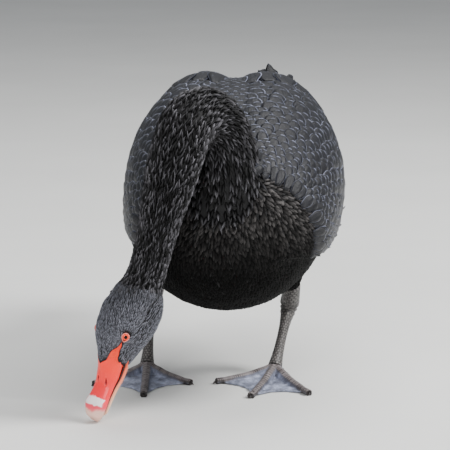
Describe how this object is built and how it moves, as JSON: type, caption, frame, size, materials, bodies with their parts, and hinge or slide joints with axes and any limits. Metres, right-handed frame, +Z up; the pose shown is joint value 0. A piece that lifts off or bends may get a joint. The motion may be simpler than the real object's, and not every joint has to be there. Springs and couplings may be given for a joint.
{
  "type": "grazing black swan figure",
  "caption": "Life-size black swan standing on webbed feet, neck arched over and down so that its red bill grazes the ground; folded ruffled wings.",
  "frame": {"origin": "middle of the bounding box on the ground plane under the swan", "axes": "-Y is the way the breast faces, +X is the swan's left, +Z is up"},
  "size_m": [0.2898, 0.5896, 0.3528],
  "materials": {
    "iris": "clear wet eye with a red iris and a black pupil",
    "red_bill": "smooth waxy horn, orange red at the face, with a white band near the tip",
    "bill_nail": "pale waxy horn",
    "lower_bill": "waxy horn, cream and orange along the edge",
    "claw": "dark smooth horn",
    "web_skin": "finely pebbled blue grey skin with pale creases",
    "leg_skin": "scaled dark grey skin",
    "wing_feather": "overlapping dark feathers with paler grey edges",
    "tail_feather": "black brown feathers",
    "neck_plumage": "short furrowed black feathers with grey tips",
    "body_plumage": "soft black feathers"
  },
  "bodies": {
    "root": {"bill_lower": "lower_bill", "bill_nail": "bill_nail", "bill_upper": "red_bill", "claw_left_hind": "claw", "claw_left_inner": "claw", "claw_left_middle": "claw", "claw_left_outer": "claw", "claw_right_hind": "claw", "claw_right_inner": "claw", "claw_right_middle": "claw", "claw_right_outer": "claw", "eye_left": "iris", "eye_right": "iris", "foot_left": "web_skin", "foot_right": "web_skin", "head": "neck_plumage", "neck_arch": "neck_plumage", "neck_base": "neck_plumage", "neck_middle": "neck_plumage", "neck_upper": "neck_plumage", "shank_left": "leg_skin", "shank_right": "leg_skin", "tail": "tail_feather", "thigh_left": "body_plumage", "thigh_right": "body_plumage", "torso": "body_plumage", "wing_left": "wing_feather", "wing_right": "wing_feather"}
  },
  "joints": []
}
